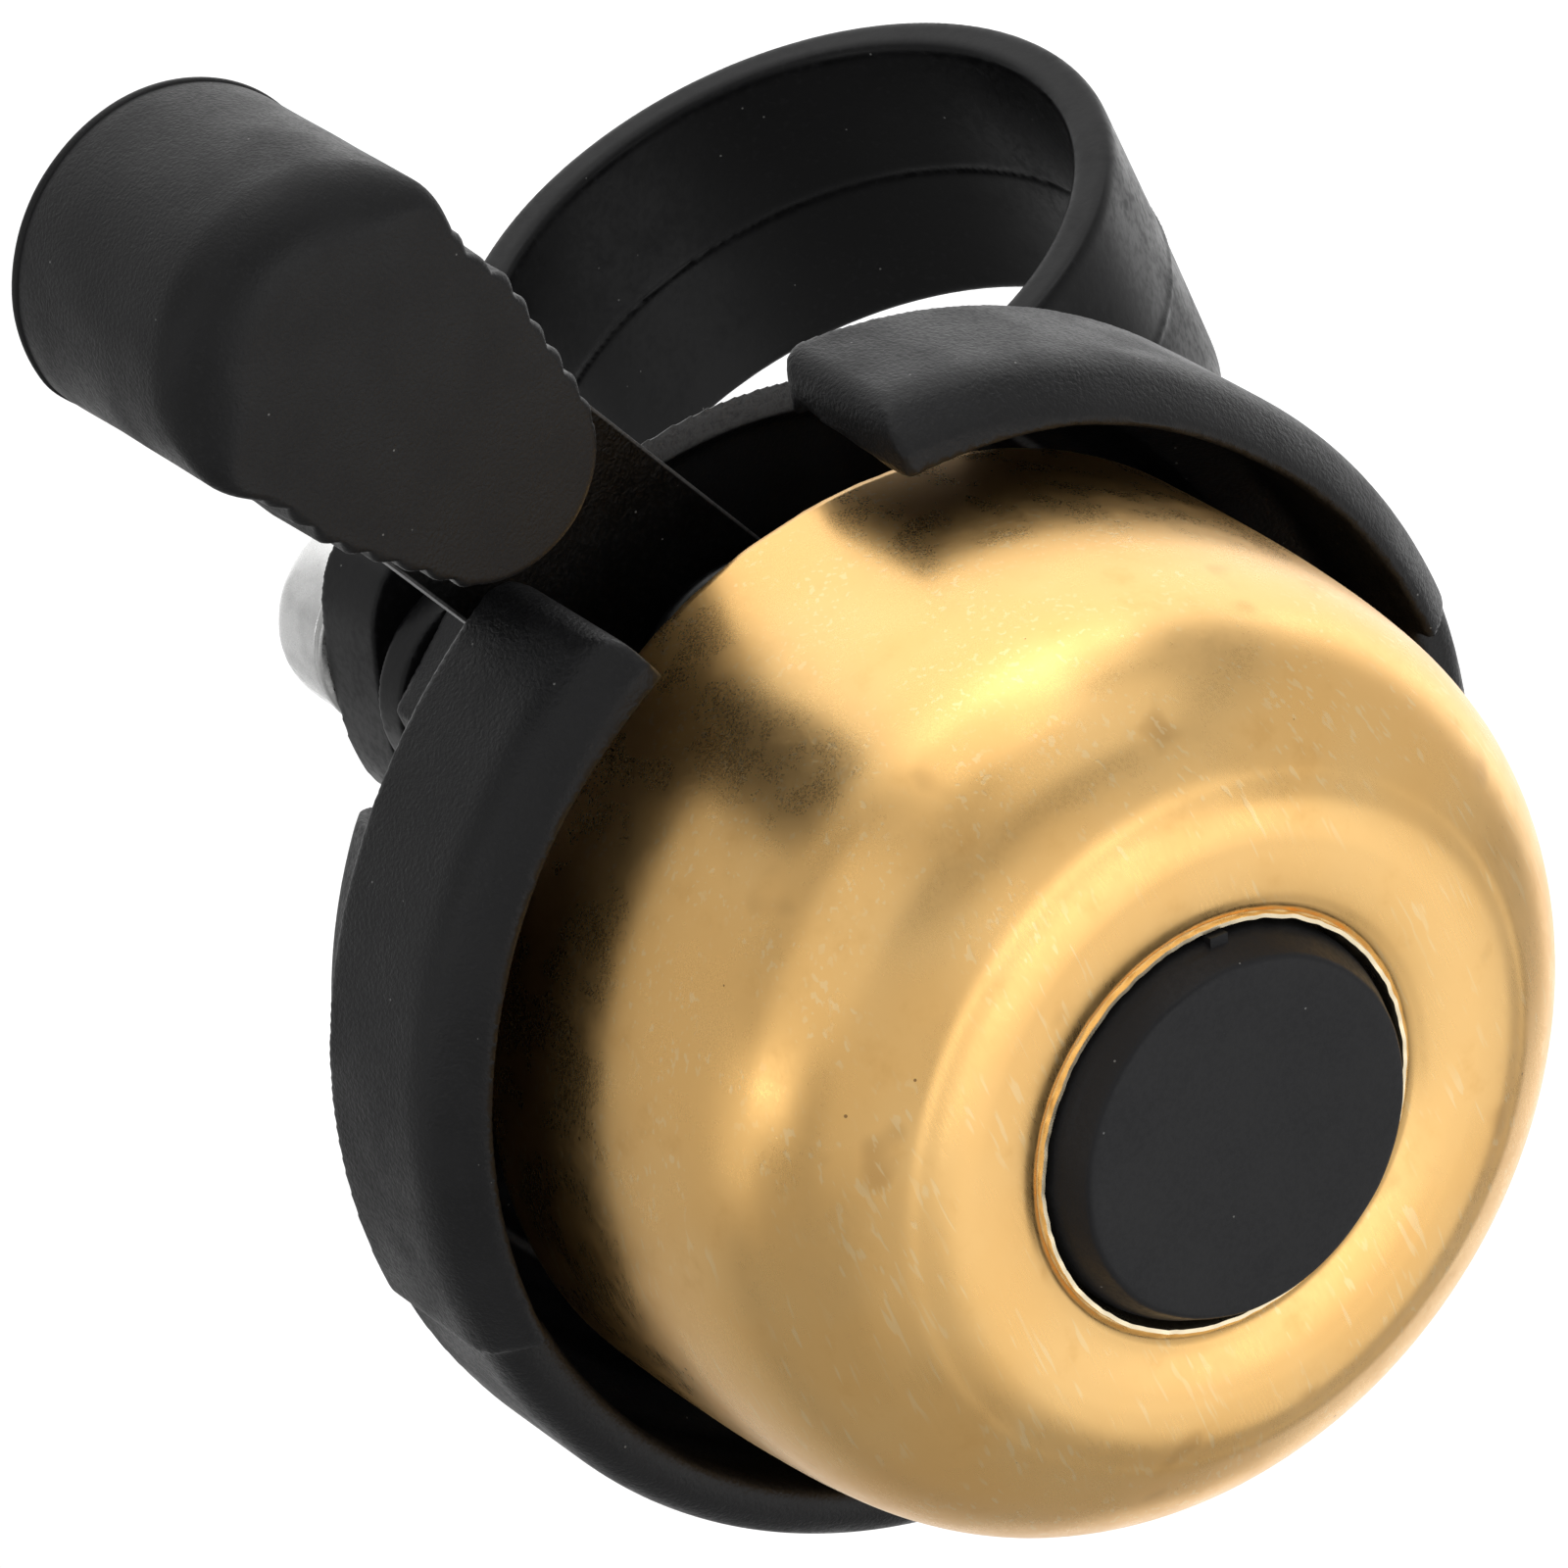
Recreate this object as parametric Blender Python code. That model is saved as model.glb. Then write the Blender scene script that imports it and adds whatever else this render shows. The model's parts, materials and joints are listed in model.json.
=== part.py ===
"""Bicycle bell with a sprung lever, on a strap clamp for a 22.2 mm handlebar.

The origin is the handlebar's centre line in the middle of the strap. +X runs along the bar,
+Z is the dome's axis, and the lever sticks out towards +X.
"""
from math import acos, atan2, cos, degrees, hypot, pi, radians, sin

import bmesh
import bpy
from mathutils import Vector

MM = 0.001
GAP = 0.15                      # between pieces that touch, mm

# Driving dimensions, in millimetres.
BAR_R = 11.1                    # handlebar radius
BAND_WALL = 1.62
BAND_WIDTH = 11.9
SLIT = 0.6                      # between the strap's two ears
EAR_REAR = 3.55                 # thickness of the ear under the screw head
EAR_FRONT = 1.55                # thickness of the ear against the stalk
SCREW_Y = 17.4                  # clamp screw from the bar's centre line

BELL_X = 1.0                    # dome axis from the clamp screw's axis
RIM_Z = 30.3                    # datum height, a little above the dome's rim
DOME_R = 17.05                  # outside radius at the rim
DOME_RIM = -1.75                # the rim itself, from the datum height RIM_Z
DOME_WALL = 0.8
WELL_R = 7.02                   # recess that holds the cap
WELL_FLOOR = 12.6               # its floor, above the rim
CAP_R = 6.85

GUARD_R = 20.95                 # outside of the raised hoods
GUARD_LOW_R = 20.65             # outside of the lower ring behind them
GUARD_REAR = -5.0               # rear edge of both, from the rim
FLOOR_TOP = -10.4               # bowl's inside floor, from the rim
FLOOR_BOTTOM = -12.4
HOOD_START = 16.3               # degrees each side of the lever gap
HOOD_LEFT = 90.0                # hoods' far ends, degrees from +X
HOOD_RIGHT = -93.0
WINDOW_END = 44.0               # lever's window under the hoods reaches this far
GUARD_BULGE = [(-93, 0.5), (-60, 0), (16, 0), (64, 0.1), (104, 0), (160, 0.25), (250, 0.75), (267, 0.75)]
STALK_AF = 7.7                  # stalk's hexagon, across flats

PIVOT_X = 10.0                  # lever pivot from the dome axis
REST_ANGLE = 20.5               # lever at rest, degrees from +X
ARM_HALF = 4.0                  # half of the arm's width
ARM_BOTTOM = -7.7
ARM_TOP = -6.3
HUB_R = 3.4
PIN_R = 1.45
PAD_NEAR = (17.9, 3.9)          # distance from the pivot and radius of the pad's near end
PAD_FAR = (25.3, 5.85)
PAD_HEIGHT = 10.7
TAIL_ANGLE = -121.7             # striker from the arm
RIVET_D = 5.9                   # rivet from the pivot
HAMMER_D = 11.3                 # striker's hammer from the pivot
HAMMER_R = 2.2
RIVET_Z = -3.0                  # height of the rivet that holds the striker's leaf
TONGUE_HALF = 2.5               # half width of the arm inside the pad
TONGUE_END = 25.0               # its end from the pivot
TAIL_Z = -1.5                   # top of the arm's turned-up tail

POST_R = 3.2                    # post that carries the dome
POST_FOOT = 2.1                 # its foot, above the floor
BOSS_R = 5.15                   # boss round the post, which also stops the tail
BOSS_TOP = -6.0
PIVOT_BOSS_R = 3.0
REST_PEG = (1.0, ARM_HALF + GAP + 1.2)   # along and across the arm at rest
REST_PEG_R = 1.2
REST_PEG_TOP = -6.5

SPRING_R = 4.1                  # middle of the wire round the hub
WIRE_R = 0.3
SPRING_TURNS = 3
SPRING_LOW = -5.85              # first and last turn
SPRING_HIGH = -4.5
SPRING_PEG = (7.0 * cos(radians(110)), 7.0 * sin(radians(110)))
SPRING_PEG_R = 1.0
SPRING_PEG_TOP = -4.1

SCREW_R = 1.95                  # clamp screw's thread
SCREW_HOLE_R = 2.15
SCREW_HEAD_R = 3.8
SCREW_TIP = 8.6
WASHER_R = 3.9
WASHER_THICK = 0.5
INSERT_R = 2.7                  # threaded insert in the stalk
INSERT_LENGTH = 6.0

BELL = Vector((BELL_X, SCREW_Y, RIM_Z)) * MM
PIVOT = BELL + Vector((PIVOT_X, 0, 0)) * MM


# ---------------------------------------------------------------- outlines

def arc(centre, radius, start, end, count):
    """Points on a circle from one angle to another, in degrees."""
    angles = [radians(start + (end - start) * i / (count - 1)) for i in range(count)]
    return [(centre[0] + radius * cos(a), centre[1] + radius * sin(a)) for a in angles]


def tapered(near, far, count=13):
    """Outline round two circles on the X axis, each given as (x, radius)."""
    touch = degrees(acos((near[1] - far[1]) / (far[0] - near[0])))
    outline = arc((far[0], 0), far[1], -touch, touch, count)
    return outline + arc((near[0], 0), near[1], touch, 360 - touch, count)


def offset(points, distance):
    """The open profile moved sideways, to the left of its direction of travel."""
    moved = []
    for i, (x, y) in enumerate(points):
        before = points[max(i - 1, 0)]
        after = points[min(i + 1, len(points) - 1)]
        dx, dy = after[0] - before[0], after[1] - before[1]
        length = hypot(dx, dy)
        moved.append((x - distance * dy / length, y + distance * dx / length))
    return moved


# ---------------------------------------------------------------- meshes

def faces_between(bm, ring_a, ring_b):
    """Quads between two rings of equal length, or a fan where one is a single point."""
    if len(ring_a) == 1 and len(ring_b) == 1:
        return
    count = max(len(ring_a), len(ring_b))
    for i in range(count):
        j = (i + 1) % count
        corners = [ring_a[i % len(ring_a)], ring_a[j % len(ring_a)],
                   ring_b[j % len(ring_b)], ring_b[i % len(ring_b)]]
        bm.faces.new(list(dict.fromkeys(corners)))


def turned(profile, segments):
    """Solid of revolution round Z from a profile of (radius, height), joined back to its start."""
    bm = bmesh.new()
    rings = []
    for r, z in profile:
        angles = [2 * pi * i / segments for i in range(segments if r > 0 else 1)]
        rings.append([bm.verts.new((r * cos(a) * MM, r * sin(a) * MM, z * MM)) for a in angles])
    for ring_a, ring_b in zip(rings, rings[1:] + rings[:1]):
        faces_between(bm, ring_a, ring_b)
    return bm


def prism(outline, bottom, top):
    """Straight-sided solid on an outline in the XY plane."""
    bm = bmesh.new()
    low = [bm.verts.new((x * MM, y * MM, bottom * MM)) for x, y in outline]
    high = [bm.verts.new((x * MM, y * MM, top * MM)) for x, y in outline]
    faces_between(bm, low, high)
    bm.faces.new(low)
    bm.faces.new(high)
    return bm


def block(x0, x1, y0, y1, z0, z1):
    return prism([(x0, y0), (x1, y0), (x1, y1), (x0, y1)], z0, z1)


def rod(radius, bottom, top, segments=24):
    start = 2.0                 # keeps its corners off its neighbours' edges
    return prism(arc((0, 0), radius, start, start + 360 - 360 / segments, segments), bottom, top)


def tube(inner, outer, bottom, top, segments=32):
    return turned([(outer, top), (outer, bottom), (inner, bottom), (inner, top)], segments)


def make(name, bm, material, location=(0, 0, 0), parent=None):
    """Puts a mesh in the scene as one named object with its faces pointing out."""
    bmesh.ops.recalc_face_normals(bm, faces=bm.faces)
    if bm.calc_volume(signed=True) < 0:
        bmesh.ops.reverse_faces(bm, faces=bm.faces)
    mesh = bpy.data.meshes.new(name)
    bm.to_mesh(mesh)
    bm.free()
    mesh.shade_smooth()
    mesh.set_sharp_from_angle(angle=radians(35))
    obj = bpy.data.objects.new(name, mesh)
    bpy.context.collection.objects.link(obj)
    obj.location = location
    obj.parent = parent
    if material:
        mesh.materials.append(material)
    return obj


def combine(target, bm, operation, location=(0, 0, 0), rotation=(0, 0, 0)):
    """Adds a hidden solid to the target, or cuts it away, with a Boolean modifier."""
    helper = make(target.name + "_" + operation.lower(), bm, None, location, target.parent)
    helper.rotation_euler = rotation
    helper.hide_render = True
    helper.display_type = 'WIRE'
    modifier = target.modifiers.new(operation.title(), 'BOOLEAN')
    modifier.operation = operation
    modifier.solver = 'EXACT'
    modifier.object = helper


def finish(name, colour, roughness, metallic=0.0):
    material = bpy.data.materials.new(name)
    material.use_nodes = True
    shader = material.node_tree.nodes["Principled BSDF"]
    shader.inputs["Base Color"].default_value = (*colour, 1)
    shader.inputs["Roughness"].default_value = roughness
    shader.inputs["Metallic"].default_value = metallic
    return material


# ---------------------------------------------------------------- dome and its fixing

def dome_profile():
    """Outer line from the rim over the shoulder and the dish to the lip, then the well and inside."""
    outer = [(DOME_R, DOME_RIM), (DOME_R, 1), (17.03, 4), (16.94, 6), (16.78, 8), (16.48, 10),
             (15.96, 11.6), (15.1, 13), (13.98, 14.1), (12.5, 15.0), (11.2, 15.5), (10.0, 15.67),
             (9.0, 15.63), (8.2, 15.5)]
    well_out = WELL_R + DOME_WALL
    under = WELL_FLOOR - DOME_WALL
    lip = [(7.35, 15.24), (7.2, 15.38), (WELL_R + 0.06, 15.37), (WELL_R, 15.1)]
    well = [(WELL_R, WELL_FLOOR), (2.3, WELL_FLOOR), (2.3, under), (well_out, under),
            (well_out, 14.2)]
    inner = offset(outer, DOME_WALL)
    inner[0] = (inner[0][0], DOME_RIM)
    return outer + lip + well + inner[::-1]


def dome_stack(brass, black, steel, fibre):
    make("bell_dome", turned(dome_profile(), 56), brass, BELL)
    skirt = CAP_R - 1.1
    cap = [(0, 16.5), (5.6, 16.56), (6.24, 16.5), (6.6, 16.1), (CAP_R, 15.3),
           (CAP_R, WELL_FLOOR + GAP), (skirt, WELL_FLOOR + GAP), (skirt, 15.6), (0, 15.6)]
    make("dome_cap", turned(cap, 40), black, BELL)
    lock = WELL_FLOOR + GAP
    make("dome_lock_washer", tube(2.15, 3.6, lock, lock + 0.6), steel, BELL)
    head = lock + 0.6 + GAP
    under = WELL_FLOOR - DOME_WALL - GAP
    post_top = under - 0.55 - GAP
    screw = [(0, head + 1.9), (2.6, head + 1.8), (3.4, head + 1.2), (3.5, head), (1.9, head),
             (1.9, post_top - 7), (0, post_top - 7)]
    make("dome_screw", turned(screw, 32), steel, BELL)
    make("dome_washer", tube(2.15, 4.4, under - 0.55, under), fibre, BELL)
    foot = FLOOR_TOP + POST_FOOT
    post = [(POST_R, post_top), (POST_R, foot), (0, foot), (0, post_top - 8), (2.05, post_top - 8),
            (2.05, post_top)]
    make("dome_post", turned(post, 32), steel, BELL)


# ---------------------------------------------------------------- base

def guard_section(raised, angle):
    """Half section of the base from the bottom's centre, round the guard, to the floor's centre."""
    r = GUARD_R if raised else GUARD_LOW_R
    bowl = [(0, FLOOR_BOTTOM), (14.4, FLOOR_BOTTOM), (15.9, -11.6), (16.6, -10.3), (19.1, -8.0),
            (19.6, -5.4)]
    if raised:
        rim = [(r, GUARD_REAR), (r, 0), (20.45, 1.2), (19.85, 1.9), (19.3, 2.22), (19.08, 2.1),
               (19.03, 1.2), (19.2, 0.2)]
    else:
        rim = [(r, GUARD_REAR), (r, 0), (20.25, 0.9), (19.8, 1.15), (19.25, 1.3), (18.85, 1.25),
               (18.65, 0.9), (18.8, -0.6)]
    rim.append((r - 1.7, -4.0))
    inside = [(17.9, -5.4), (17.6, -8.0), (16.0, -9.9), (15.4, FLOOR_TOP), (0, FLOOR_TOP)]
    return bowl + [(radius + bulge(angle), z) for radius, z in rim] + inside


def bulge(angle):
    """How far the guard runs out of round at an angle round it, in mm."""
    for (a, low), (b, high) in zip(GUARD_BULGE, GUARD_BULGE[1:]):
        if angle <= b:
            return low + (high - low) * max(angle - a, 0) / (b - a)
    return GUARD_BULGE[-1][1]


def base_shell():
    """The base's ring of half sections: raised round the lever gap, lower behind it."""
    step = 0.3
    steps = 27
    span = HOOD_LEFT - HOOD_RIGHT
    front = [HOOD_RIGHT + span * i / steps for i in range(steps + 1)]
    back = [HOOD_LEFT + step + (360 - span - 2 * step) * i / steps for i in range(steps + 1)]
    bm = bmesh.new()
    floor_low = bm.verts.new((0, 0, FLOOR_BOTTOM * MM))
    floor_high = bm.verts.new((0, 0, FLOOR_TOP * MM))
    rings = []
    for angle in front + back:
        section = guard_section(angle <= HOOD_LEFT, angle)[1:-1]
        a = radians(angle)
        ring = [bm.verts.new((r * cos(a) * MM, r * sin(a) * MM, z * MM)) for r, z in section]
        rings.append([floor_low] + ring + [floor_high])
    for ring_a, ring_b in zip(rings, rings[1:] + rings[:1]):
        for i in range(len(ring_a) - 1):
            corners = [ring_a[i], ring_a[i + 1], ring_b[i + 1], ring_b[i]]
            bm.faces.new(list(dict.fromkeys(corners)))
    return bm


def sector(half_angle, inner, outer, bottom, top):
    """Arc-shaped block centred on +X."""
    outline = arc((0, 0), outer, -half_angle, half_angle, 15)
    return prism(outline + arc((0, 0), inner, half_angle, -half_angle, 15), bottom, top)


def rest_peg_centre():
    """Peg the arm rests against; at the other end of its travel the tail meets the boss."""
    along, across = REST_PEG
    a = radians(REST_ANGLE)
    return Vector((along * cos(a) - across * sin(a), along * sin(a) + across * cos(a), 0)) * MM


def base(black):
    body = make("base", base_shell(), black, BELL)
    combine(body, sector(HOOD_START, 14.5, 24, -10.0, 6), 'DIFFERENCE', BELL)
    combine(body, sector(WINDOW_END, 14.5, 24, -10.0, GUARD_REAR - 0.2), 'DIFFERENCE', BELL)
    edge = arc((0, 0), 24, HOOD_START + 1, WINDOW_END + 0.6, 7)
    edge += arc((0, 0), 14, WINDOW_END + 0.6, HOOD_START + 1, 7)
    combine(body, prism(edge, -13.5, -9.8), 'DIFFERENCE', BELL)
    stalk_rear = SLIT / 2 + EAR_FRONT + GAP
    hexagon = arc((0, 0), STALK_AF / 2 / cos(pi / 6), 0, 300, 6)
    clamp_axis = Vector((0, SCREW_Y, 0)) * MM
    combine(body, prism(hexagon, stalk_rear, RIM_Z + FLOOR_BOTTOM + 0.5), 'UNION', clamp_axis)
    combine(body, rod(6.0, FLOOR_BOTTOM - 1.6, FLOOR_BOTTOM + 0.8, 32), 'UNION', BELL)
    combine(body, rod(BOSS_R, FLOOR_TOP - 0.5, BOSS_TOP, 32), 'UNION', BELL)
    combine(body, rod(PIVOT_BOSS_R, FLOOR_TOP - 0.7, FLOOR_TOP + 0.9), 'UNION', PIVOT)
    rest_peg = rod(REST_PEG_R, FLOOR_TOP - 0.6, REST_PEG_TOP, 16)
    combine(body, rest_peg, 'UNION', PIVOT + rest_peg_centre())
    spring_peg = rod(SPRING_PEG_R, FLOOR_TOP - 0.6, SPRING_PEG_TOP, 16)
    combine(body, spring_peg, 'UNION', PIVOT + Vector((*SPRING_PEG, 0)) * MM)
    socket = rod(POST_R + GAP, FLOOR_TOP + POST_FOOT - GAP, 0, 32)
    combine(body, socket, 'DIFFERENCE', BELL)
    combine(body, rod(PIN_R + GAP, -20, 0), 'DIFFERENCE', PIVOT)
    pocket = stalk_rear + INSERT_LENGTH + 2 * GAP
    combine(body, rod(INSERT_R + GAP, 0, pocket), 'DIFFERENCE', clamp_axis)
    combine(body, rod(SCREW_HOLE_R, pocket - 1, pocket + 3), 'DIFFERENCE', clamp_axis)


# ---------------------------------------------------------------- lever and striker

def lever_parts(black, steel, brass, pad_black, nylon):
    lever = bpy.data.objects.new("lever_pivot", None)
    bpy.context.collection.objects.link(lever)
    lever.location = PIVOT
    lever.rotation_euler = (0, 0, radians(REST_ANGLE))

    shoulder = PAD_NEAR[0] - 2.7
    tongue = TONGUE_HALF
    side = [(shoulder, ARM_HALF), (shoulder, 3.1), (14.55, tongue), (TONGUE_END, tongue)]
    outline = side[::-1] + arc((0, 0), ARM_HALF, 90, 270, 15) + [(x, -y) for x, y in side]
    arm = make("lever_arm", prism(outline[::-1], ARM_BOTTOM, ARM_TOP), black, parent=lever)
    combine(arm, rod(HUB_R, ARM_BOTTOM - 1.5, -4.4, 32), 'UNION')
    tail = (0, 0, radians(TAIL_ANGLE))
    tail_plate = block(1.5, 7.0, -1.0, 1.5, ARM_BOTTOM + 0.1, ARM_TOP - 0.1)
    combine(arm, tail_plate, 'UNION', rotation=tail)
    upright = block(4.8, 6.9, 0.35, 1.55, ARM_TOP - 0.7, TAIL_Z)
    combine(arm, upright, 'UNION', rotation=tail)
    combine(arm, rod(2.1, -12, 0, 32), 'DIFFERENCE')
    turned_in = (pi / 2, 0, radians(TAIL_ANGLE))
    at_rivet = rotated(RIVET_D, TAIL_ANGLE, RIVET_Z)
    combine(arm, rod(0.7, -3, 3, 16), 'DIFFERENCE', at_rivet, turned_in)

    pad_body = prism(tapered(PAD_NEAR, PAD_FAR), -PAD_HEIGHT, 0)
    pad = make("thumb_pad", pad_body, pad_black, parent=lever)
    reach = TONGUE_END + GAP
    slot = block(5, reach, -tongue - GAP, tongue + GAP, ARM_BOTTOM - GAP, ARM_TOP + GAP)
    combine(pad, slot, 'DIFFERENCE')

    bush = tube(PIN_R + 0.1, 2.0, ARM_BOTTOM - 1.45, -4.45, 28)
    make("pivot_bush", bush, nylon, parent=lever)
    rivet = [(1.1, 2.1), (1.1, 1.7), (0.55, 1.7), (0.55, -0.35), (1.1, -0.35), (1.1, -0.75),
             (0, -0.75), (0, 2.1)]
    fastener = make("striker_rivet", turned(rivet, 20), steel, at_rivet, lever)
    fastener.rotation_euler = (-pi / 2, 0, radians(TAIL_ANGLE))

    striker = bpy.data.objects.new("striker_pivot", None)
    bpy.context.collection.objects.link(striker)
    striker.parent = lever
    striker.location = rotated(RIVET_D, TAIL_ANGLE, 0)
    striker.rotation_euler = tail
    reach = HAMMER_D - RIVET_D
    strip = block(-1.0, reach + 1.2, -0.2, 0.2, -4.2, -1.8)
    leaf = make("striker_leaf", strip, steel, parent=striker)
    combine(leaf, rod(0.7, -1, 1, 16), 'DIFFERENCE', (0, 0, RIVET_Z * MM), (pi / 2, 0, 0))
    slug = [(0, 3.6), (1.5, 3.6), (HAMMER_R, 3.0), (HAMMER_R, -4.0), (1.8, -4.4), (0, -4.4)]
    hammer = make("striker_hammer", turned(slug, 28), brass, (reach * MM, 0, 0), striker)
    notch = block(-3, 1.2 + GAP, -0.2 - GAP, 0.2 + GAP, -5, -1.8 + GAP)
    combine(hammer, notch, 'DIFFERENCE', (reach * MM, 0, 0))


def rotated(distance, angle, z):
    """A point at a distance and an angle in degrees, in metres."""
    a = radians(angle)
    return Vector((distance * cos(a), distance * sin(a), z)) * MM


def pivot_parts(steel):
    head = FLOOR_BOTTOM - GAP
    pin = [(0, -2.4), (PIN_R - 0.3, -2.4), (PIN_R, -2.7), (PIN_R, head), (2.7, head),
           (2.7, head - 0.8), (2.3, head - 1.1), (0, head - 1.1)]
    make("pivot_pin", turned(pin, 28), steel, PIVOT)
    make("pivot_washer", tube(PIN_R + 0.1, 3.0, -4.25, -3.75), steel, PIVOT)
    make("pivot_clip", tube(PIN_R + 0.1, 2.6, -3.6, -3.1, 28), steel, PIVOT)


def tangent_angle(point, radius):
    """Angle between a point's direction and where its tangent meets a circle at the origin."""
    return acos(radius / hypot(*point))


def return_spring(steel):
    """Torsion spring round the hub: one leg on the striker's post, the other on the base's peg."""
    a = radians(REST_ANGLE + TAIL_ANGLE)
    leg = (6.6, 0.35 - GAP - WIRE_R)
    moving = (leg[0] * cos(a) - leg[1] * sin(a), leg[0] * sin(a) + leg[1] * cos(a))
    peg_angle = radians(122.5)
    fixed = (7.9 * cos(peg_angle), 7.9 * sin(peg_angle))
    start = atan2(moving[1], moving[0]) - tangent_angle(moving, SPRING_R)
    end = peg_angle + tangent_angle(fixed, SPRING_R) - 2 * pi * SPRING_TURNS
    points = [(*moving, SPRING_LOW)]
    steps = 60
    for i in range(steps + 1):
        turn = start + (end - start) * i / steps
        height = SPRING_LOW + (SPRING_HIGH - SPRING_LOW) * i / steps
        points.append((SPRING_R * cos(turn), SPRING_R * sin(turn), height))
    points.append((*fixed, SPRING_HIGH))
    curve = bpy.data.curves.new("return_spring", 'CURVE')
    curve.dimensions = '3D'
    curve.bevel_depth = WIRE_R * MM
    curve.bevel_resolution = 1
    curve.use_fill_caps = True
    spline = curve.splines.new('POLY')
    spline.points.add(len(points) - 1)
    for slot, (x, y, z) in zip(spline.points, points):
        slot.co = (x * MM, y * MM, z * MM, 1)
    curve.materials.append(steel)
    spring = bpy.data.objects.new("return_spring", curve)
    bpy.context.collection.objects.link(spring)
    spring.location = PIVOT


# ---------------------------------------------------------------- clamp

def rear_ear_outline(half_width):
    """A wide tab, one corner of its end rounded off more."""
    end = [(half_width, -0.5), (half_width - 0.5, 1.15), (4.1, 2.3), (2.7, 2.95), (1.2, 3.45),
           (-0.4, 3.85), (-2.0, 4.12), (-3.4, 4.1), (-4.4, 3.75), (-5.2, 2.6), (-half_width, 0.8)]
    root = BAR_R + 0.2
    return [(half_width, root)] + [(x, SCREW_Y + y) for x, y in end] + [(-half_width, root)]


def front_ear_outline(half_width, radius):
    root, neck = BAR_R + 0.2, SCREW_Y - radius - 0.3
    side = [(half_width, root), (half_width, neck)]
    return side + arc((0, SCREW_Y), radius, -20, 200, 15) + [(-x, y) for x, y in side[::-1]]


def clamp(black, steel, brass):
    half = BAND_WIDTH / 2
    outer = BAR_R + BAND_WALL
    ring = [(outer - 0.1, half), (outer, 0), (outer - 0.1, -half), (BAR_R, -half), (BAR_R, half)]
    bm = turned(ring, 56)
    bmesh.ops.rotate(bm, verts=bm.verts, matrix=rotation_y_90())
    band = make("clamp_band", bm, black)
    rear = -SLIT / 2 - EAR_REAR
    front = SLIT / 2 + EAR_FRONT
    combine(band, prism(rear_ear_outline(half - 0.15), rear, 0), 'UNION')
    combine(band, prism(front_ear_outline(4.4, 4.15), -0.25, front), 'UNION')
    combine(band, block(-9, 9, 4, 26, -SLIT / 2, SLIT / 2), 'DIFFERENCE')
    axis = Vector((0, SCREW_Y, 0)) * MM
    combine(band, rod(SCREW_HOLE_R, -12, 12), 'DIFFERENCE', axis)

    washer_rear = rear - 0.1 - WASHER_THICK
    washer = tube(SCREW_HOLE_R, WASHER_R, washer_rear, rear - 0.1)
    make("clamp_washer", washer, steel, axis)
    seat = washer_rear - 0.1
    screw = [(0, SCREW_TIP), (SCREW_R - 0.35, SCREW_TIP), (SCREW_R, SCREW_TIP - 0.4),
             (SCREW_R, seat), (SCREW_HEAD_R, seat), (SCREW_HEAD_R, seat - 2.1),
             (3.6, seat - 2.75), (3.1, seat - 3.2), (1.6, seat - 3.4), (0, seat - 3.45)]
    make("clamp_screw", turned(screw, 32), steel, axis)
    start = front + 2 * GAP
    insert = tube(SCREW_R + 0.13, INSERT_R, start, start + INSERT_LENGTH, 28)
    make("clamp_insert", insert, brass, axis)


def rotation_y_90():
    return Vector((0, 0, 1)).rotation_difference(Vector((1, 0, 0))).to_matrix()


def main():
    for old in list(bpy.data.objects):
        bpy.data.objects.remove(old)
    brass = finish("satin_brass", (0.72, 0.50, 0.20), 0.3, 1.0)
    black = finish("black_plastic", (0.025, 0.025, 0.027), 0.55)
    pad_black = finish("black_rubbery_plastic", (0.03, 0.03, 0.032), 0.65)
    steel = finish("zinc_plated_steel", (0.66, 0.67, 0.68), 0.3, 1.0)
    fibre = finish("fibre", (0.35, 0.12, 0.07), 0.8)
    nylon = finish("nylon", (0.75, 0.73, 0.66), 0.5)
    dome_stack(brass, black, steel, fibre)
    base(black)
    lever_parts(black, steel, brass, pad_black, nylon)
    pivot_parts(steel)
    return_spring(steel)
    clamp(black, steel, brass)


main()
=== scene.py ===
"""Looks of the bicycle bell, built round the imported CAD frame."""
import json
from math import acos, atan2, cos, degrees, hypot, pi, radians, sin, sqrt

import bmesh
import bpy
from mathutils import Matrix, Vector, noise


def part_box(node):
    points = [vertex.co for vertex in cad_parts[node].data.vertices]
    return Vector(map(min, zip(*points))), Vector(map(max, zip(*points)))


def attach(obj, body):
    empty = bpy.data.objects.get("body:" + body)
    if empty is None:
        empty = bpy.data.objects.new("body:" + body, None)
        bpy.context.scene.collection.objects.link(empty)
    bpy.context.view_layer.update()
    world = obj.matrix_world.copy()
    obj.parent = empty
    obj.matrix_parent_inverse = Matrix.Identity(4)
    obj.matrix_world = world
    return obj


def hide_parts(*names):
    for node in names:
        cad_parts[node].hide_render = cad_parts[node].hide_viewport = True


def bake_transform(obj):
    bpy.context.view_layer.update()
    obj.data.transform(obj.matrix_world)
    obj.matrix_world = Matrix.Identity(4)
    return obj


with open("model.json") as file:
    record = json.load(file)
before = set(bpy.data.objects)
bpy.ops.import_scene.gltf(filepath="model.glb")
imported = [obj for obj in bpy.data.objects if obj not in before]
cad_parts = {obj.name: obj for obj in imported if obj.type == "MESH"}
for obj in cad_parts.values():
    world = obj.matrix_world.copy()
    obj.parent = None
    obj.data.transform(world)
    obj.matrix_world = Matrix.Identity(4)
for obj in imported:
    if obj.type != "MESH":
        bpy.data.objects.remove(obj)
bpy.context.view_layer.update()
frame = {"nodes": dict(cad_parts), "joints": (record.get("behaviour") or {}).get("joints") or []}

MM = 0.001

# ---------------------------------------------------------------- places, from the frame


def centre(node):
    lo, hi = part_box(node)
    return (lo + hi) / 2


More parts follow.
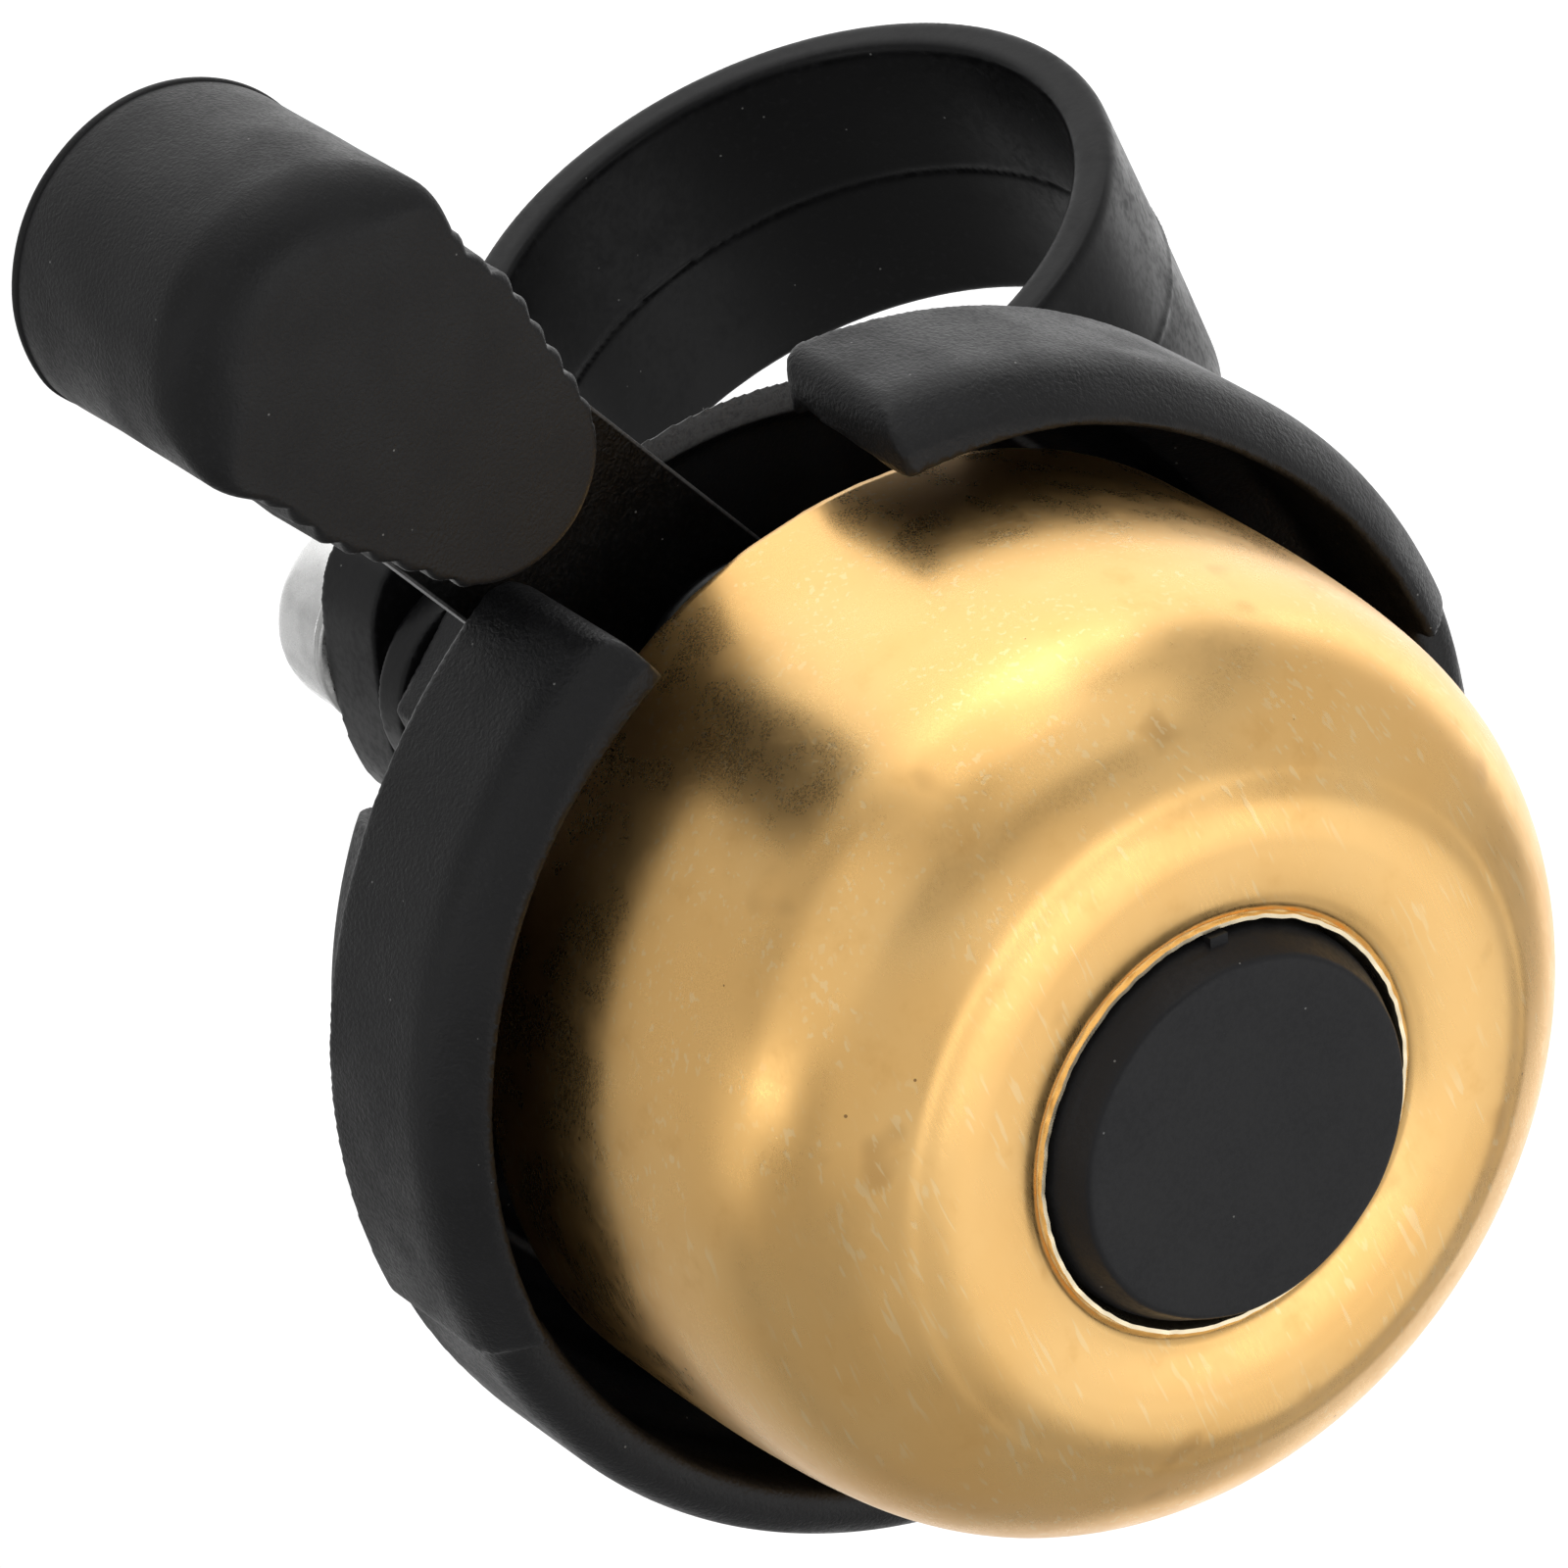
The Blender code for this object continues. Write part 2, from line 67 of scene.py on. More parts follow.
def joint(name):
    return next(j for j in frame["joints"] if j["name"] == name)


SCREW = Vector((centre("clamp_screw").x, centre("clamp_screw").y, 0))
PIVOT = Vector(joint("lever_swing")["pos_m"])
RIM = Vector((centre("bell_dome").x, centre("bell_dome").y, PIVOT.z))

# ---------------------------------------------------------------- dimensions, mm

# Dome's outer profile, (radius, height above the pivot's plane), rim to lip.
DOME = [(17.03, -1.75), (17.06, 1), (17.03, 4), (16.94, 6), (16.78, 8), (16.48, 10),
        (15.96, 11.6), (15.1, 13), (13.98, 14.1), (12.5, 15.0), (11.8, 15.29), (11.2, 15.5),
        (10.6, 15.62), (10.0, 15.67), (9.5, 15.66), (9.0, 15.63), (8.5, 15.57), (8.0, 15.48),
        (7.65, 15.39)]
DOME_WALL = 0.8
WELL_R, WELL_FLOOR = 7.02, 12.6                # recess that holds the cap
CAP_FACE_R, CAP_R, CAP_TOP = 6.24, 6.85, 16.56
HOOD_R, RING_R = 20.95, 20.65                  # guard: raised hoods and lower ring behind
REAR_EDGE = -5.0                               # where the guard starts above the bowl
FLOOR_TOP, FLOOR_BOTTOM = -10.4, -12.4
HOOD_START, HOOD_RIGHT, HOOD_LEFT = 16.2, -93.0, 90.0
WINDOW_END = 44.0                              # half angle of the lever's window
BOSS_R = 5.15                                  # boss round the dome's post
PEG_AT, PEG_ANGLE = 7.0, 110.0                 # spring's peg, from the pivot
ARM_ANGLE = 20.5
ARM_BOTTOM, ARM_TOP, ARM_HALF = -7.7, -6.3, 4.0
HUB_R = 3.1
TAIL_ANGLE = -121.7                            # lever's tail from its arm
RIVET_AT = 5.9
PAD_NEAR, PAD_FAR, PAD_HEIGHT = (17.9, 3.9), (25.3, 5.85), 10.7
RIB_START, RIB_END, RIB_PITCH = 15.6, 24.8, 1.13
TONGUE = 2.5                                   # half width of the arm inside the pad
BAR_R, BAND_OUT, BAND_WIDTH = 11.1, 12.72, 11.9
EAR_REAR, EAR_FRONT, SLIT = 3.55, 1.55, 0.6
SCREW_Y = SCREW.y / MM
SCREW_HOLE = 2.15

# ---------------------------------------------------------------- mesh helpers


def arc(cx, cy, r, start, end, count):
    angles = [radians(start + (end - start) * i / (count - 1)) for i in range(count)]
    return [(cx + r * cos(a), cy + r * sin(a)) for a in angles]


def curved(points, per=6):
    """Smooth open line through the points."""
    out = []
    pts = [Vector(p) for p in points]
    for i in range(len(pts) - 1):
        p0, p1, p2, p3 = pts[max(i - 1, 0)], pts[i], pts[i + 1], pts[min(i + 2, len(pts) - 1)]
        for k in range(per):
            t = k / per
            out.append(0.5 * ((2 * p1) + (p2 - p0) * t + (2 * p0 - 5 * p1 + 4 * p2 - p3) * t * t
                              + (3 * p1 - p0 - 3 * p2 + p3) * t ** 3))
    out.append(pts[-1])
    return [tuple(p) for p in out]


def offset(points, distance):
    moved = []
    for i, (x, y) in enumerate(points):
        a, b = points[max(i - 1, 0)], points[min(i + 1, len(points) - 1)]
        dx, dy = b[0] - a[0], b[1] - a[1]
        length = hypot(dx, dy)
        moved.append((x - distance * dy / length, y + distance * dx / length))
    return moved


def stitch(bm, a, b):
    for i in range(max(len(a), len(b))):
        j = (i + 1) % max(len(a), len(b))
        ring = [a[i % len(a)], a[j % len(a)], b[j % len(b)], b[i % len(b)]]
        corners = list(dict.fromkeys(ring))
        if len(corners) > 2:
            bm.faces.new(corners)


def lathe(profile, segments, warp=None):
    """Solid of revolution about Z from (radius, height), joined back to its start."""
    bm = bmesh.new()
    rings = []
    for r, z in profile:
        ring = []
        for i in range(segments if r > 0 else 1):
            a = 2 * pi * i / segments
            rr, zz = warp(a, r, z) if warp else (r, z)
            ring.append(bm.verts.new((rr * cos(a) * MM, rr * sin(a) * MM, zz * MM)))
        rings.append(ring)
    for a, b in zip(rings, rings[1:] + rings[:1]):
        if len(a) > 1 or len(b) > 1:
            stitch(bm, a, b)
    return bm


def loft(rings, cap=True):
    """Solid through equal rings of points (x, y, z), mm."""
    bm = bmesh.new()
    made = [[bm.verts.new((x * MM, y * MM, z * MM)) for x, y, z in ring] for ring in rings]
    for a, b in zip(made, made[1:]):
        stitch(bm, a, b)
    if cap:
        bm.faces.new(made[0])
        bm.faces.new(made[-1])
    return bm


def prism(outline, bottom, top):
    return loft([[(x, y, bottom) for x, y in outline], [(x, y, top) for x, y in outline]])


def block(x0, x1, y0, y1, z0, z1):
    return prism([(x0, y0), (x1, y0), (x1, y1), (x0, y1)], z0, z1)


def rod(radius, bottom, top, segments=64):
    return prism(arc(0, 0, radius, 1.7, 361.7 - 360 / segments, segments), bottom, top)


def tube(inner, outer, bottom, top, segments=96, ease=0.08):
    return lathe([(outer - ease, top), (outer, top - ease), (outer, bottom + ease),
                  (outer - ease, bottom), (inner + ease, bottom), (inner, bottom + ease),
                  (inner, top - ease), (inner + ease, top)], segments)


def placed(name, data):
    """New object in the scene."""
    obj = bpy.data.objects.new(name, data)
    bpy.context.scene.collection.objects.link(obj)
    return obj


def solid(name, bm, location=(0, 0, 0), turn=(0, 0, 0)):
    bmesh.ops.recalc_face_normals(bm, faces=bm.faces)
    if bm.calc_volume(signed=True) < 0:
        bmesh.ops.reverse_faces(bm, faces=bm.faces)
    mesh = bpy.data.meshes.new(name)
    bm.to_mesh(mesh)
    bm.free()
    obj = placed(name, mesh)
    obj.location = location
    obj.rotation_euler = turn
    return obj


def finished_mesh(obj):
    bpy.context.view_layer.update()
    graph = bpy.context.evaluated_depsgraph_get()
    return bpy.data.meshes.new_from_object(obj.evaluated_get(graph))


def bake(obj):
    """Replaces the mesh by what its modifiers make of it, in place."""
    mesh = finished_mesh(obj)
    obj.modifiers.clear()
    obj.data = mesh


def crisp(obj, angle):
    """Smooth shading, with edges sharper than the angle kept."""
    obj.data.shade_smooth()
    obj.data.set_sharp_from_angle(angle=radians(angle))


def cut(obj, bm, operation='DIFFERENCE', location=(0, 0, 0), turn=(0, 0, 0)):
    tool = solid("tool", bm, location, turn)
    modifier = obj.modifiers.new("cut", 'BOOLEAN')
    modifier.operation = operation
    modifier.solver = 'EXACT'
    modifier.object = tool
    bake(obj)
    bpy.data.objects.remove(tool)


def moulded(obj, voxel, smooth):
    """Even mesh with soft moulded edges."""
    modifier = obj.modifiers.new("voxel", 'REMESH')
    modifier.mode = 'VOXEL'
    modifier.voxel_size = voxel * MM
    bake(obj)
    modifier = obj.modifiers.new("ease", 'SMOOTH')
    modifier.factor = 0.5
    modifier.iterations = smooth
    bake(obj)


def bevelled(obj, width, segments=3, angle=30):
    modifier = obj.modifiers.new("bevel", 'BEVEL')
    modifier.width = width * MM
    modifier.segments = segments
    modifier.limit_method = 'ANGLE'
    modifier.angle_limit = radians(angle)
    modifier.use_clamp_overlap = True
    modifier.harden_normals = True
    obj.data.shade_smooth()


# ---------------------------------------------------------------- material helpers


class Nodes:
    """Small helper for one node material."""

    def __init__(self, name):
        self.material = bpy.data.materials.new(name)
        self.material.use_nodes = True
        self.tree = self.material.node_tree
        self.shader = self.tree.nodes["Principled BSDF"]
        self.place = self.add('ShaderNodeTexCoord').outputs["Object"]

    def add(self, kind, **settings):
        node = self.tree.nodes.new(kind)
        for key, value in settings.items():
            setattr(node, key, value)
        return node

    def link(self, a, b):
        self.tree.links.new(a, b)

    def put(self, socket, value):
        if hasattr(value, "is_output"):
            self.link(value, socket)
        else:
            socket.default_value = value

    def noise(self, size, detail=2.0, rough=0.5, place=None, distortion=0.0):
        node = self.add('ShaderNodeTexNoise')
        self.put(node.inputs["Vector"], place or self.place)
        node.inputs["Scale"].default_value = 1 / (size * MM)
        node.inputs["Detail"].default_value = detail
        node.inputs["Roughness"].default_value = rough
        node.inputs["Distortion"].default_value = distortion
        return node.outputs["Fac"]

    def stretched(self, turn, stretch):
        node = self.add('ShaderNodeMapping')
        self.link(self.place, node.inputs["Vector"])
        node.inputs["Rotation"].default_value = turn
        node.inputs["Scale"].default_value = stretch
        return node.outputs["Vector"]

    def cells(self, size):
        node = self.add('ShaderNodeTexVoronoi', feature='F1')
        self.link(self.place, node.inputs["Vector"])
        node.inputs["Scale"].default_value = 1 / (size * MM)
        return node

    def ramp(self, value, low, high, out_low=0.0, out_high=1.0):
        node = self.add('ShaderNodeMapRange')
        node.interpolation_type = 'SMOOTHSTEP'
        self.put(node.inputs["Value"], value)
        for socket, v in zip(("From Min", "From Max", "To Min", "To Max"),
                             (low, high, out_low, out_high)):
            node.inputs[socket].default_value = v
        return node.outputs["Result"]

    def math(self, operation, a, b=0.0):
        node = self.add('ShaderNodeMath', operation=operation)
        self.put(node.inputs[0], a)
        self.put(node.inputs[1], b)
        return node.outputs[0]

    def mix(self, factor, a, b):
        node = self.add('ShaderNodeMix', data_type='RGBA')
        self.put(node.inputs[0], factor)
        self.put(node.inputs[6], a if hasattr(a, "is_output") else (*a, 1))
        self.put(node.inputs[7], b if hasattr(b, "is_output") else (*b, 1))
        return node.outputs[2]

    def bump(self, height, strength, depth, under=None):
        node = self.add('ShaderNodeBump')
        node.inputs["Strength"].default_value = strength
        node.inputs["Distance"].default_value = depth * MM
        self.put(node.inputs["Height"], height)
        if under:
            self.link(under, node.inputs["Normal"])
        return node.outputs["Normal"]

    def specks(self, size, share, spot):
        """1 in small round spots, in that share of the cells of that size, mm."""
        cell = self.cells(size)
        chosen = self.math('LESS_THAN', self.red(cell.outputs["Color"]), share)
        near = self.math('LESS_THAN', cell.outputs["Distance"], spot)
        return self.math('MULTIPLY', chosen, near)

    def red(self, colour):
        node = self.add('ShaderNodeSeparateColor')
        self.link(colour, node.inputs[0])
        return node.outputs[0]


def axes(n):
    node = n.add('ShaderNodeSeparateXYZ')
    n.link(n.place, node.inputs[0])
    return node.outputs


def distance_from_axis(n):
    x, y, z = axes(n)
    return n.math('SQRT', n.math('ADD', n.math('MULTIPLY', x, x), n.math('MULTIPLY', y, y))), z


def plastic(name, colour=(0.007, 0.007, 0.0075), roughness=0.46, specular=0.27, grain=0.16,
            depth=0.045, worn=0.0, edge=None, edge_highlight_colour=(0.16, 0.16, 0.16)):
    n = Nodes(name)
    wide = n.noise(2.4, 3)
    fine = n.noise(grain, 2, 0.6, distortion=0.3)
    dust = n.specks(0.8, 0.3, 0.05)
    tone = n.ramp(wide, 0.35, 0.7)
    base = n.mix(tone, colour, tuple(c * 1.35 for c in colour))
    base = n.mix(n.ramp(fine, 0.52, 0.75, 0, 0.3 + worn), base, (0.02, 0.02, 0.021))
    # The edge mask lightens its strip: a painted highlight (on the base's flat, partly wear).
    if edge:
        base = n.mix(n.math('MULTIPLY', edge(n), n.ramp(fine, 0.2, 0.6, 0.6, 1)), base, edge_highlight_colour)
    base = n.mix(n.math('MULTIPLY', dust, 0.55), base, (0.30, 0.30, 0.29))
    n.put(n.shader.inputs["Base Color"], base)
    rough = n.ramp(wide, 0.3, 0.75, roughness - 0.07, roughness + 0.08)
    rough = n.math('ADD', rough, n.ramp(fine, 0.4, 0.7, -0.05, 0.06))
    n.put(n.shader.inputs["Roughness"], rough)
    n.shader.inputs["Specular IOR Level"].default_value = specular
    n.put(n.shader.inputs["Normal"],
          n.bump(fine, 0.8, depth, n.bump(n.noise(1.3, 2), 0.35, 0.03)))
    return n.material


def gap_flat_wear_and_highlight(n):
    """The base's narrow flat where the lever gap ends on the floor, painted lighter: partly wear,
    partly a painted highlight where it catches the light.
    """
    r, z = distance_from_axis(n)
    level = n.math('MULTIPLY', n.ramp(z, -10.3 * MM, -10.1 * MM), n.ramp(z, -9.75 * MM, -9.9 * MM))
    return n.math('MULTIPLY', n.ramp(r, 15.75 * MM, 15.95 * MM), level)


def arm_edge_highlight(n):
    """The lever arm's long edges, painted lighter: a painted highlight along them."""
    return n.ramp(n.math('ABSOLUTE', axes(n)[1]), (ARM_HALF - 0.13) * MM, (ARM_HALF - 0.06) * MM)


def scratches(n, turn, spacing, length):
    """Fine straight marks in one direction, 0..1."""
    place = n.stretched(turn, (spacing / length, 1, 1))
    lines = n.noise(spacing, 1.5, 0.5, place)
    marks = n.ramp(lines, 0.61, 0.67)
    patchy = n.ramp(n.noise(2.6, 2, place=n.stretched(turn, (0.6, 1, 1))), 0.46, 0.62)
    return n.math('MULTIPLY', marks, patchy)


def brass_finish():
    n = Nodes("satin_brass_look")
    wide = n.noise(7.5, 3)
    blotch = n.noise(2.2, 4, 0.6)
    smudge = n.ramp(n.noise(4.2, 2, 0.55), 0.66, 0.76)
    grain = n.noise(0.14, 3, 0.65)
    hair = n.noise(0.09, 2, 0.6, n.stretched((0.4, 0.9, 0.3), (0.09, 1, 1)))
    hair2 = n.noise(0.11, 2, 0.6, n.stretched((1.3, -0.5, 1.1), (0.09, 1, 1)))
    marks = n.math('MAXIMUM', scratches(n, (0.3, 0.8, 0.5), 0.22, 2.6),
                   scratches(n, (1.2, -0.6, 2.1), 0.25, 2.2))
    pits = n.specks(1.15, 0.13, 0.055)
    colour = n.mix(n.ramp(wide, 0.35, 0.65), (0.93, 0.56, 0.20), (0.95, 0.60, 0.235))
    colour = n.mix(n.ramp(blotch, 0.56, 0.80, 0, 0.55), colour, (0.80, 0.45, 0.14))
    colour = n.mix(n.math('MULTIPLY', smudge, 0.45), colour, (0.50, 0.27, 0.09))
    colour = n.mix(n.math('MULTIPLY', pits, 0.8), colour, (0.22, 0.12, 0.05))
    colour = n.mix(n.math('MULTIPLY', marks, 0.35), colour, (0.95, 0.78, 0.46))
    # The lip round the cap gets a pale colour: a painted highlight on the rolled edge.
    r = distance_from_axis(n)[0]
    colour = n.mix(n.ramp(r, 7.30 * MM, 7.22 * MM), colour, (0.93, 0.80, 0.56))    # turned-up lip, painted paler: a painted highlight
    n.put(n.shader.inputs["Base Color"], colour)
    n.shader.inputs["Metallic"].default_value = 1.0
    rough = n.ramp(blotch, 0.3, 0.75, 0.27, 0.34)
    rough = n.math('ADD', rough, n.ramp(hair, 0.35, 0.7, -0.02, 0.03))
    n.put(n.shader.inputs["Roughness"], rough)
    normal = n.bump(grain, 0.10, 0.0018)
    normal = n.bump(hair, 0.22, 0.0025, normal)
    normal = n.bump(hair2, 0.22, 0.0025, normal)
    normal = n.bump(n.math('SUBTRACT', 0.0, marks), 0.16, 0.006, normal)
    normal = n.bump(n.noise(5.0, 1), 0.5, 0.05, normal)
    n.put(n.shader.inputs["Normal"], normal)
    return n.material


def metal(name, colour, roughness, grain=0.3, depth=0.004, stain=0.25):
    n = Nodes(name)
    fine = n.noise(grain, 3)
    wide = n.noise(grain * 7, 3)
    darker = tuple(c * (1 - stain) for c in colour)
    n.put(n.shader.inputs["Base Color"], n.mix(n.ramp(wide, 0.4, 0.7), colour, darker))
    n.shader.inputs["Metallic"].default_value = 1.0
    n.put(n.shader.inputs["Roughness"], n.ramp(fine, 0.3, 0.7, roughness - 0.06, roughness + 0.08))
    n.put(n.shader.inputs["Normal"], n.bump(fine, 0.4, depth))
    return n.material


def dull(name, colour, roughness, grain=0.2, depth=0.01):
    n = Nodes(name)
    fine = n.noise(grain, 4)
    n.put(n.shader.inputs["Base Color"],
          n.mix(n.ramp(fine, 0.35, 0.7), colour, tuple(c * 0.7 for c in colour)))
    n.put(n.shader.inputs["Roughness"], n.ramp(fine, 0.3, 0.7, roughness - 0.05, roughness + 0.05))
    n.put(n.shader.inputs["Normal"], n.bump(fine, 0.5, depth))
    return n.material


# The base's edge colour on the flat by the lever gap is partly wear, partly a painted highlight.
BLACK = plastic("black_plastic_look", edge=gap_flat_wear_and_highlight)
# The lever's edge colour is a painted highlight along the arm's long edges.
LEVER = plastic("lever_plastic_look", (0.0022, 0.0022, 0.0022), 0.42, 0.18, edge=arm_edge_highlight,
                edge_highlight_colour=(0.1, 0.1, 0.1))
PAD = plastic("pad_plastic_look", (0.0066, 0.0066, 0.007), 0.47, 0.24, 0.14, 0.035, 0.12)
STRAP = plastic("strap_plastic_look", (0.004, 0.004, 0.0043), 0.40, 0.18, 0.3, 0.006)
CAP = plastic("cap_plastic_look", (0.010, 0.010, 0.011), 0.5, 0.25, 0.2, 0.012)
BRASS = brass_finish()
ZINC = metal("zinc_steel_look", (0.62, 0.62, 0.61), 0.30)
SCREW_STEEL = metal("screw_steel_look", (0.86, 0.86, 0.85), 0.26)
SPRING = metal("spring_steel_look", (0.05, 0.05, 0.05), 0.38)
HAMMER = metal("hammer_brass_look", (0.80, 0.58, 0.27), 0.30)
INSERT = metal("insert_brass_look", (0.78, 0.60, 0.30), 0.32)
NYLON = dull("nylon_look", (0.72, 0.70, 0.62), 0.45)
FIBRE = dull("fibre_look", (0.30, 0.09, 0.05), 0.75)


def show(obj, body, material, slot, *nodes):
    """Gives a finished piece its material and body, and hides the CAD nodes that it stands for;
    slot is not used.
    """
    obj.data.materials.clear()
    obj.data.materials.append(material)
    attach(obj, body)
    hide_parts(*nodes)
    return obj


# ---------------------------------------------------------------- dome and cap


def dome():
    outer = curved(DOME, 6)
    lip = [(7.54, 15.36), (7.44, 15.31), (7.35, 15.24), (7.28, 15.16), (7.24, 15.14), (7.22, 15.2),
           (7.22, 15.32), (7.2, 15.38), (7.06, 15.37), (7.03, 15.3), (7.02, 15.2), (WELL_R, 15.0)]
    floor = [(WELL_R, WELL_FLOOR + 0.3), (WELL_R - 0.1, WELL_FLOOR + 0.1),
             (WELL_R - 0.3, WELL_FLOOR), (2.3, WELL_FLOOR), (2.3, WELL_FLOOR - DOME_WALL)]
    well_out = WELL_R + DOME_WALL
    under = [(well_out - 0.4, WELL_FLOOR - DOME_WALL), (well_out, WELL_FLOOR - DOME_WALL + 0.4),
             (well_out, 14.3)]
    inner = offset(outer, DOME_WALL)
    inner = [p for p in inner if p[0] > well_out + 0.15][::-1]
    inner[-1] = (inner[-1][0], DOME[0][1])

    burr = 0.35

    def ragged(a, r, z):
        """The sheared rim and the lip round the cap are a little uneven."""
        above = z - DOME[0][1]
        if above < burr:
            w = noise.noise(Vector((cos(a) * 26, sin(a) * 26, 1.3)))
            w += 0.6 * noise.noise(Vector((cos(a) * 70, sin(a) * 70, 5.3)))
            z += 0.07 * w * (1 - above / burr)
        if WELL_R < r < 7.25 and z > 15.18:
            z += 0.05 * noise.noise(Vector((cos(a) * 12, sin(a) * 12, 8.3)))
            r += 0.04 * noise.noise(Vector((cos(a) * 17, sin(a) * 17, 2.9)))
        return r, z

    rim = [(DOME[0][0] - 0.05, DOME[0][1]), (DOME[0][0], DOME[0][1] + 0.05)]
    profile = rim + outer[1:] + lip + floor + under + inner
    piece = solid("dome_shell", lathe(profile, 288, ragged), RIM)
    crisp(piece, 55)
    return show(piece, "bell", BRASS, "satin_brass", "bell_dome")


def cap():
    face = [(0, CAP_TOP - 0.16), (1.5, CAP_TOP - 0.15), (3.2, CAP_TOP - 0.1), (4.8, CAP_TOP - 0.03),
            (5.7, CAP_TOP), (6.0, CAP_TOP - 0.005), (6.14, CAP_TOP - 0.03),
            (CAP_FACE_R, CAP_TOP - 0.1), (6.32, CAP_TOP - 0.25), (6.5, 15.9), (6.66, 15.55),
            (6.78, 15.25), (CAP_R, 14.9)]
    foot, inner = WELL_FLOOR + 0.2, CAP_R - 1.1
    skirt = [(CAP_R, foot), (inner, foot), (inner, 15.6), (0, 15.6)]

    def uneven(a, r, z):
        if z > 15.7 and r > 5.6:
            z += 0.025 * noise.noise(Vector((cos(a) * 3, sin(a) * 3, 0.4)))
            r += 0.03 * noise.noise(Vector((cos(a) * 5, sin(a) * 5, 4.4)))
        return r, z

    piece = solid("dome_cap_moulding", lathe(curved(face, 4) + skirt, 192, uneven), RIM)
    for angle, width in ((-21.0, 0.34), (-138.0, 0.26)):
        nib = block(CAP_R - 0.5, CAP_R + 0.12, -width, width, 15.2, 15.62)
        cut(piece, nib, 'UNION', RIM, (0, 0, radians(angle)))
    crisp(piece, 50)
    return show(piece, "bell", CAP, "black_plastic", "dome_cap")


# ---------------------------------------------------------------- base with its hoods


def hood_section():
    ridge = curved([(HOOD_R, -0.6), (20.92, 0.15), (20.7, 0.85), (20.27, 1.42), (19.8, 1.88),
                    (19.42, 2.15)], 4)
    lip = [(19.25, 2.22), (19.08, 2.12), (19.02, 1.8), (19.05, 1.0), (19.2, 0.2)]
    return [(HOOD_R, REAR_EDGE)] + ridge + lip


def ring_section():
    ridge = curved([(RING_R, -0.6), (20.62, 0.1), (20.37, 0.75), (19.85, 1.15), (19.25, 1.3)], 4)
    lip = [(18.85, 1.25), (18.65, 0.95), (18.66, 0.4), (18.8, -0.6)]
    return [(RING_R, REAR_EDGE)] + ridge + lip


def bulge(angle):
    """How far the guard runs out of round at an angle round it."""
    table = [(-93, 0.5), (-60, 0), (-20, -0.05), (16, 0), (64, 0.12), (104, 0), (140, 0.15),
             (160, 0.25), (210, 0.45), (250, 0.75), (267, 0.75)]
    for (a, low), (b, high) in zip(table, table[1:]):
        if angle <= b:
            return low + (high - low) * max(angle - a, 0) / (b - a)
    return table[-1][1]


def shell():
    """Bowl and guard: hoods over the front part of the circle, the lower ring over the rest."""
    below = [(0, FLOOR_BOTTOM), (14.4, FLOOR_BOTTOM), (15.3, -12.15), (15.9, -11.6), (16.6, -10.3),
             (18.1, -9.3), (19.1, -8.0), (19.5, -6.8), (19.6, -5.4)]
    inside = [(17.9, -5.4), (17.6, -8.0), (16.9, -9.3), (16.0, -9.9), (15.4, FLOOR_TOP)]
    count = 144
    step = 0.2                                 # half the step between hood and ring, degrees
    bm = bmesh.new()
    low = bm.verts.new((0, 0, FLOOR_BOTTOM * MM))
    high = bm.verts.new((0, 0, FLOOR_TOP * MM))
    hoods = HOOD_LEFT - HOOD_RIGHT
    rest = 360 - 2 * step - hoods
    front = [(HOOD_RIGHT + hoods * i / count, True) for i in range(count + 1)]
    back = [(HOOD_LEFT + step + rest * i / count, False) for i in range(count + 1)]
    hood, ring = hood_section(), ring_section()
    while len(ring) < len(hood):
        ring.insert(1, ((ring[0][0] + ring[1][0]) / 2, (ring[0][1] + ring[1][1]) / 2))
    rings = []
    for angle, raised in front + back:
        # The hoods' lips draw in towards the lever gap.
        tip = 0.35 * max(0, (36 - abs(angle)) / 20) if angle < 90 else 0
        rim = [(r + bulge(angle) - (tip if z > -0.5 and r < 19.5 else 0), z)
               for r, z in (hood if raised else ring)]
        section = below[1:] + rim + [(rim[0][0] - 1.7, -4.0)] + inside
        a = radians(angle)
        points = [bm.verts.new((r * cos(a) * MM, r * sin(a) * MM, z * MM)) for r, z in section]
        rings.append([low] + points + [high])
    for a, b in zip(rings, rings[1:] + rings[:1]):
        for i in range(len(a) - 1):
            bm.faces.new(list(dict.fromkeys([a[i], a[i + 1], b[i + 1], b[i]])))
    return bm


def gap_tool(levels, inner=14.5, outer=24.0, count=25):
    """Arc-shaped tool centred on +X whose half angle changes with height."""
    rings = []
    for z, half in levels:
        far = [(x, y, z) for x, y in arc(0, 0, outer, -half, half, count)]
        near = [(x, y, z) for x, y in arc(0, 0, inner, half, -half, count)]
        rings.append(far + near)
    return loft(rings)


def rounded_gap():
    """Half angle of the lever gap: straight above, its rear corners rounded."""
    radius = 0.9
    levels = [(-10.0, WINDOW_END + 0.6), (-9.6, WINDOW_END), (-6.2, WINDOW_END),
              (-5.5, WINDOW_END - 0.25), (-5.21, WINDOW_END - 1.2), (-5.2, HOOD_START + 3.5)]
    for i in range(9):
        t = i / 8
        z = REAR_EDGE + radius * t
        cut_back = radius - sqrt(max(radius ** 2 - (radius * (1 - t)) ** 2, 0))
        levels.append((z, HOOD_START - 0.3 + degrees(cut_back / HOOD_R)))
    return levels + [(0.5, HOOD_START - 0.3), (1.6, HOOD_START - 0.2), (2.3, HOOD_START + 0.1),
                     (4, HOOD_START + 1.2)]


